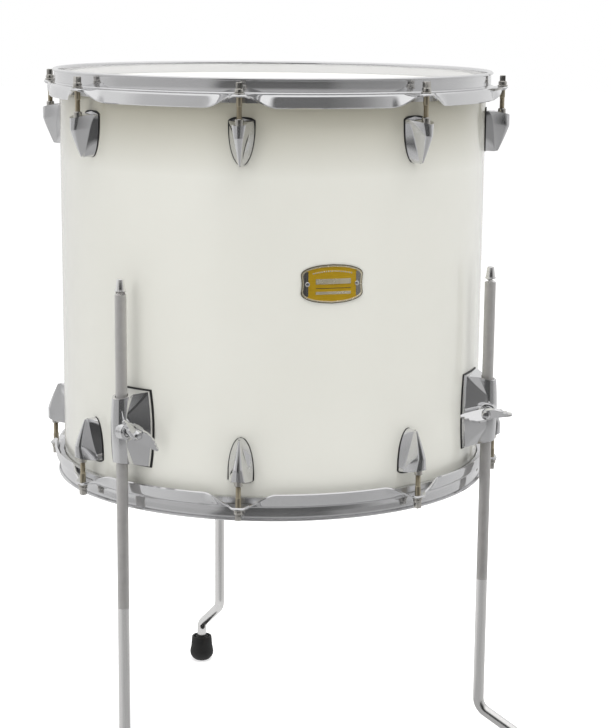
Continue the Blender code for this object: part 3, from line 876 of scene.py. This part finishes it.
def bracket_gasket_mesh():
    """Rubber sheet under the bracket, curved to the shell and a little larger than it."""
    grow = 0.0009
    lines = 24
    right = []
    for line in range(lines + 1):
        height = -BRACKET_HALF + 2 * BRACKET_HALF * line / lines
        right.append((bracket_half_width(height) + grow, height * (1 + grow / BRACKET_HALF)))
    across = [1 - 2 * i / 12 for i in range(1, 12)]
    width, height = right[-1]
    top = [(width * share, height) for share in across]
    outline = right + top + [(-x, z) for x, z in reversed(right)] + [(-x, -z) for x, z in top]
    return sheet_on_shell(outline, LEG_GAP, GASKET + 0.0001)


def leg_route():
    """Middle line of a leg about its upright part, each bend rounded."""
    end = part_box("rear_leg")[0].z
    corners = [Vector((0, 0, LEG_TIP - 0.0145)), Vector((0, 0, LEG_KNEE)),
               Vector((0, -LEG_REACH, LEG_ANKLE)), Vector((0, -LEG_REACH, end))]
    points = [corners[0]]
    drop = corners[0].z - LEG_KNEE - 0.02
    heights = [corners[0].z - drop * i / 40 for i in range(1, 40)]
    points += [Vector((0, 0, z)) for z in heights]
    for before, corner, after in zip(corners, corners[1:], corners[2:]):
        inward = (before - corner).normalized()
        outward = (after - corner).normalized()
        half_angle = inward.angle(outward) / 2
        run = LEG_BEND / math.tan(half_angle)
        centre = corner + (inward + outward).normalized() * LEG_BEND / math.sin(half_angle)
        first = (corner + inward * run - centre).normalized()
        last = (corner + outward * run - centre).normalized()
        points += [centre + first.slerp(last, i / 14) * LEG_BEND for i in range(15)]
    points.append(corners[-1])
    return points


def leg_mesh():
    """Swept bar with a turned, blunt tip; the upper part is knurled."""
    tip = LEG_TIP
    across = Vector((1, 0, 0))
    turns = [2 * math.pi * i / LEG_SIDES for i in range(LEG_SIDES)]
    rings = [(tip, 0.0012), (tip - 0.0004, 0.0027), (tip - 0.0013, 0.0033),
             (tip - 0.009, 0.0043), (tip - 0.0104, 0.0049), (tip - TIP_LENGTH, LEG_RADIUS)]
    rows = []
    for height, radius in rings:
        rows.append([(radius * math.cos(turn), radius * math.sin(turn), height) for turn in turns])
    route = leg_route()
    for i, point in enumerate(route):
        along = (route[min(i + 1, len(route) - 1)] - route[max(i - 1, 0)]).normalized()
        other = across.cross(along)
        rows.append([point + (across * math.cos(turn) - other * math.sin(turn)) * LEG_RADIUS
                     for turn in turns])
    mesh = mesh_from_rows(rows)
    mesh.materials.append(MATERIALS["leg"])
    mesh.materials.append(MATERIALS["knurl"])
    for face in mesh.polygons:
        knurled = MID - KNURL_END < face.center.z < tip - 0.014
        face.material_index = 1 if knurled else 0
    return mesh


def foot_mesh():
    """Moulded rubber foot with a sunk, ribbed ring round the leg."""
    top = FOOT_TOP
    socket = LEG_RADIUS + 0.0002
    profile = [(socket, top - 0.0005), (socket + 0.0004, top), (0.0069, top),
               (0.0073, top - 0.0005), (0.0073, top - 0.005),
               (0.0093, top - 0.005), (0.0093, top - 0.0005),
               (0.0097, top), (0.0109, top), (0.0114, top - 0.0006), (0.0124, 0.017),
               (0.0134, 0.012), (0.0136, 0.01), (0.0134, 0.0078), (0.0124, 0.0052),
               (0.0107, 0.0028), (0.0088, 0.0011), (0.0068, 0.0002), (0.0058, 0.0),
               (0, 0), (0, 0.0085), (socket, 0.0085)]
    body = turned(profile, 64)
    ribs = []
    for i in range(12):
        rib = bevelled_box((0.0026, 0.0009, 0.004), 0.0002)
        turn = Matrix.Rotation(2 * math.pi * i / 12, 4, "Z")
        ribs.append(moved(rib, turn @ Matrix.Translation((0.0083, 0, top - 0.0026))))
    return joined(body, *ribs)


def make_legs():
    """The three legs with their brackets, wing bolts and feet."""
    leg, foot, wing, boss = leg_mesh(), foot_mesh(), wing_mesh(), boss_mesh()
    gasket, screw = bracket_gasket_mesh(), screw_mesh()
    for name, azimuth in zip(LEG_NAMES, LEG_AZIMUTHS):
        side = WING_SIDES[name]
        at_bracket = station(azimuth, LEG_CIRCLE, BRACKET_MID)
        bolt = at_bracket @ bolt_frame(side, WING_TURNS[name])
        add_piece(f"{name}_bracket_casting", bracket_mesh(), "casting", at_bracket,
                  [f"{name}_leg_bracket"], 22)
        add_piece(f"{name}_bracket_boss", boss, "casting", bolt)
        add_piece(f"{name}_bracket_pad", gasket, "gasket", at_bracket,
                  [f"{name}_bracket_gasket"])
        out = bolt @ Matrix.Translation((0, 0, WING_OUT[name]))
        add_piece(f"{name}_wing", wing, "casting", out,
                  [f"{name}_wing_bolt"], body=f"{name}_wing_bolt")
        at_leg = station(azimuth, LEG_CIRCLE, 0)
        add_piece(f"{name}_bent_leg", leg, "leg", at_leg, [f"{name}_leg"], 30,
                  f"{name}_leg")
        at_foot = station(azimuth, LEG_CIRCLE + LEG_REACH, 0)
        add_piece(f"{name}_foot_moulding", foot, "foot", at_foot,
                  [f"{name}_rubber_foot"], body=f"{name}_leg")
        for level, height in (("low", -0.022), ("high", 0.022)):
            add_piece(f"{name}_bracket_screw_{level}", screw, "rod",
                      inner_station(azimuth, BRACKET_MID + height))


# ---- badge and vent ----
def badge_edge(share):
    """Point of the badge's outline; share runs once round it from 0 to 1."""
    angle = 2 * math.pi * share
    c, s = math.cos(angle), math.sin(angle)
    power = 0.33
    x = math.copysign(abs(c) ** power, c)
    z = math.copysign(abs(s) ** power, s)
    waist = 0.91 + 0.09 * z * z
    arch = 1 - 0.32 * x * x
    return BADGE_HALF_WIDTH * x * waist, BADGE_HALF_HEIGHT * z * arch


def on_badge(x, z, lift):
    """Point over the shell at a place on the badge, raised by lift."""
    angle = x / SHELL_RADIUS
    radius = SHELL_RADIUS + lift
    return radius * math.sin(angle), -radius * math.cos(angle), z


def badge_ring(inset, lift):
    """Ring of points inside the badge's outline, raised by lift."""
    shrink_x = (BADGE_HALF_WIDTH - inset) / BADGE_HALF_WIDTH
    shrink_z = (BADGE_HALF_HEIGHT - inset) / BADGE_HALF_HEIGHT
    points = []
    for i in range(160):
        x, z = badge_edge(i / 160)
        points.append(on_badge(x * shrink_x, z * shrink_z, lift))
    return points


def plate_on_badge(low, high, lift, thickness, steps=8):
    """Small raised bar on the badge between two corners."""
    rows = []
    for i in range(steps + 1):
        x = low[0] + (high[0] - low[0]) * i / steps
        rows.append([on_badge(x, low[1], lift), on_badge(x, high[1], lift),
                     on_badge(x, high[1] - 0.0001, lift + thickness),
                     on_badge(x, low[1] + 0.0001, lift + thickness)])
    return mesh_from_rows(rows)


def stud_on_badge(x, z, radius, lift, height):
    """Domed stud on the badge."""
    rows = []
    turns = [2 * math.pi * i / 24 for i in range(24)]
    for share, rise in ((1.0, 0.0), (1.0, 0.35), (0.86, 0.75), (0.55, 0.95), (0.2, 1.0)):
        reach = radius * share
        rows.append([on_badge(x + reach * math.cos(turn), z + reach * math.sin(turn),
                              lift + height * rise) for turn in turns])
    return mesh_from_rows(rows)


def make_badge():
    """Gold plate with a pale border, end panels, nails, and plain bars and beads on its field."""
    place = station(height=BADGE_MID)
    plate_rows = [badge_ring(0.0, 0.0003), badge_ring(0.0, 0.0008), badge_ring(0.0006, 0.0009)]
    plate_rows += [badge_ring(inset, 0.0009) for inset in (0.004, 0.008, 0.012, 0.0155)]
    plate = mesh_from_rows(plate_rows)
    add_piece("badge_plate", plate, "gold", place, ["badge"])
    outline = mesh_from_rows([badge_ring(-0.0002, 0.0002), badge_ring(-0.0002, 0.001),
                              badge_ring(0.0004, 0.0012), badge_ring(0.0004, 0.0002)],
                             closed_ends=True)
    add_piece("badge_outline", outline, "enamel", place)
    border = mesh_from_rows([badge_ring(0.0004, 0.0008), badge_ring(0.0006, 0.0014),
                             badge_ring(0.0016, 0.0015), badge_ring(0.002, 0.0008)],
                            closed_ends=True)
    add_piece("badge_border", border, "trim", place)
    ends = [plate_on_badge((side * 0.0238 - 0.0024, -0.0108), (side * 0.0238 + 0.0024, 0.0108),
                           0.0008, 0.0002) for side in (-1, 1)]
    add_piece("badge_end_panels", joined(*ends), "rod", place)
    beads = []
    for i in range(-9, 10):
        x = 0.0019 * i
        beads.append(stud_on_badge(x, 0.0112 - 7.0 * x * x, 0.0007, 0.0008, 0.0005))
    add_piece("badge_beads", joined(*beads), "trim", place, crease=60)
    bars = [plate_on_badge((-0.015, z - half), (0.0165, z + half), 0.0008, 0.0004, 16)
            for z, half in ((-0.0078, 0.0013), (0.0022, 0.0024))]
    add_piece("badge_bars", joined(*bars), "trim", place)
    field = plate_on_badge((-0.015, -0.004), (0.0165, -0.0034), 0.0008, 0.0003, 16)
    add_piece("badge_field", field, "enamel", place)
    nails = [stud_on_badge(side * 0.0222, 0.0, 0.0021, 0.0009, 0.0011) for side in (-1, 1)]
    add_piece("badge_nails", joined(*nails), "casting", place, crease=60)


def make_vent():
    """Eyelet of the air vent, rolled over the shell's wall on both sides."""
    profile = [(0.0032, 0.0009), (0.0038, 0.0014), (0.0055, 0.0013), (0.0075, 0.0008),
               (0.0084, 0.0003), (0.0047, 0.0003), (0.0047, -0.0071), (0.0074, -0.0071),
               (0.0068, -0.008), (0.0042, -0.0082), (0.0032, -0.0074)]
    add_piece("vent_eyelet", turned(profile, 48), "trim", vent_station(MID),
              ["air_vent_eyelet"])


def finish_hidden_parts():
    """Nodes that stay as they are get their own finish."""
    finishes = {f"{name}_leg_bush": "nylon" for name in LEG_NAMES}
    finishes.update({"batter_flesh_hoop": "flesh", "resonant_flesh_hoop": "flesh"})
    for node, material in finishes.items():
        mesh = frame["nodes"][node].data
        mesh.materials.clear()
        mesh.materials.append(MATERIALS[material])


# ---- studio ----
# What polished metal sees, as (azimuth, brightness) stops: round the horizon, higher up,
# and in the floor near the drum. The front is dim, and both sides and the back are pale.
HORIZON = [(-180, 0.8), (-125, 0.74), (-98, 0.48), (-46, 0.42), (-40, 0.08), (11, 0.07),
           (20, 0.22), (52, 0.28), (62, 0.48), (95, 0.62), (120, 0.8), (180, 0.8)]
HIGHER = [(-180, 0.85), (-98, 0.8), (-84, 0.55), (-44, 0.45), (-38, 0.05), (12, 0.05),
          (30, 0.16), (48, 0.5), (100, 0.7), (180, 0.85)]
NEAR_FLOOR = [(-180, 0.75), (-100, 0.72), (-60, 0.62), (-30, 0.44), (20, 0.42), (50, 0.5),
              (100, 0.66), (180, 0.75)]


def make_world():
    """Even light for matt surfaces, shades for polished ones, and white behind it all."""
    world = bpy.data.worlds.new("studio")
    world.use_nodes = True
    bpy.context.scene.world = world
    nodes = Tree(world.node_tree, "Generated")
    turn, height = nodes.turn(), nodes.local()[2]
    low, high = nodes.shades(turn, HORIZON), nodes.shades(turn, HIGHER)
    seen = nodes.mix(nodes.ramp(height, 0.03, 0.1), low, high)
    seen = nodes.mix(nodes.ramp(height, 0.45, 0.75), seen, 1.0)
    ray = nodes.add("LightPath").outputs
    color = nodes.mix(ray["Is Glossy Ray"], DIFFUSE_LIGHT, seen)
    color = nodes.mix(ray["Is Camera Ray"], color, 1.0)
    nodes.feed(nodes.tree.nodes["Background"].inputs["Color"], color)


def floor_material():
    """Plain pale floor; polished metal sees it in the studio's shades."""
    nodes = Surface("pale_floor", base_color=(0.93, 0.93, 0.93), roughness=0.9)
    ray = nodes.add("LightPath").outputs
    nodes.set("Emission Color", (1.0, 1.0, 1.0))
    nodes.set("Emission Strength", nodes.math("MULTIPLY", ray["Is Camera Ray"], FLOOR_GLOW))
    reach = nodes.add("VectorMath", operation="LENGTH")
    nodes.feed(reach.inputs[0], nodes.place)
    turn = nodes.turn()
    near, far = nodes.shades(turn, NEAR_FLOOR), nodes.shades(turn, HORIZON)
    mirror = nodes.add("Emission")
    beyond = nodes.ramp(reach.outputs["Value"], 1.3, 1.8)
    nodes.feed(mirror.inputs["Color"], nodes.mix(beyond, near, far))
    choose = nodes.add("MixShader")
    nodes.feed(choose.inputs["Fac"], ray["Is Glossy Ray"])
    nodes.feed(choose.inputs[1], nodes.shader.outputs["BSDF"])
    nodes.feed(choose.inputs[2], mirror.outputs["Emission"])
    nodes.feed(nodes.tree.nodes["Material Output"].inputs["Surface"], choose.outputs["Shader"])
    return nodes.material


def make_floor():
    """Wide round floor."""
    work = bmesh.new()
    bmesh.ops.create_circle(work, cap_ends=True, segments=96, radius=14)
    mesh = finished(work, "floor")
    mesh.materials.append(floor_material())
    floor = bpy.data.objects.new("studio_floor", mesh)
    bpy.context.scene.collection.objects.link(floor)


def make_light(name, place, target, size, power):
    """Soft box that neither the camera nor polished metal sees."""
    data = bpy.data.lights.new(name, "AREA")
    data.shape = "RECTANGLE"
    data.size, data.size_y = size
    data.energy = power
    light = bpy.data.objects.new(name, data)
    light.location = place
    light.rotation_euler = (Vector(target) - Vector(place)).to_track_quat("-Z", "Y").to_euler()
    light.visible_camera = False
    light.visible_glossy = False
    bpy.context.scene.collection.objects.link(light)


def make_lights():
    """Overhead box with one at each side."""
    aim = (0, AXIS.y, MID)
    make_light("overhead_box", (0.1, -0.6, 2.9), aim, (2.4, 2.0), 60)
    make_light("left_box", (-2.6, -1.6, 1.5), aim, (1.2, 2.2), 16)
    make_light("right_box", (2.7, -1.0, 1.5), aim, (0.5, 2.2), 9)


def make_camera():
    """The photograph's view: a long lens in front of the drum, a little above it."""
    azimuth, distance, rise = -14.98, 1.7775, 0.2608
    yaw, pitch, roll = math.radians(16.05), math.radians(-11.24), math.radians(0.55)
    data = bpy.data.cameras.new("camera")
    data.sensor_width = 36.0
    data.lens = 91.63
    camera = bpy.data.objects.new("camera", data)
    camera.location = station(azimuth, distance, MID + rise).translation
    turn = Matrix.Rotation(-yaw, 4, "Z") @ Matrix.Rotation(math.pi / 2 + pitch, 4, "X")
    camera.rotation_euler = (turn @ Matrix.Rotation(roll, 4, "Z")).to_euler()
    bpy.context.scene.collection.objects.link(camera)
    bpy.context.scene.camera = camera


make_camera()
make_shell()
make_heads()
make_hoops()
make_tension_hardware()
make_legs()
make_badge()
make_vent()
finish_hidden_parts()
make_world()
make_floor()
make_lights()
bpy.context.scene.view_settings.view_transform = "Standard"
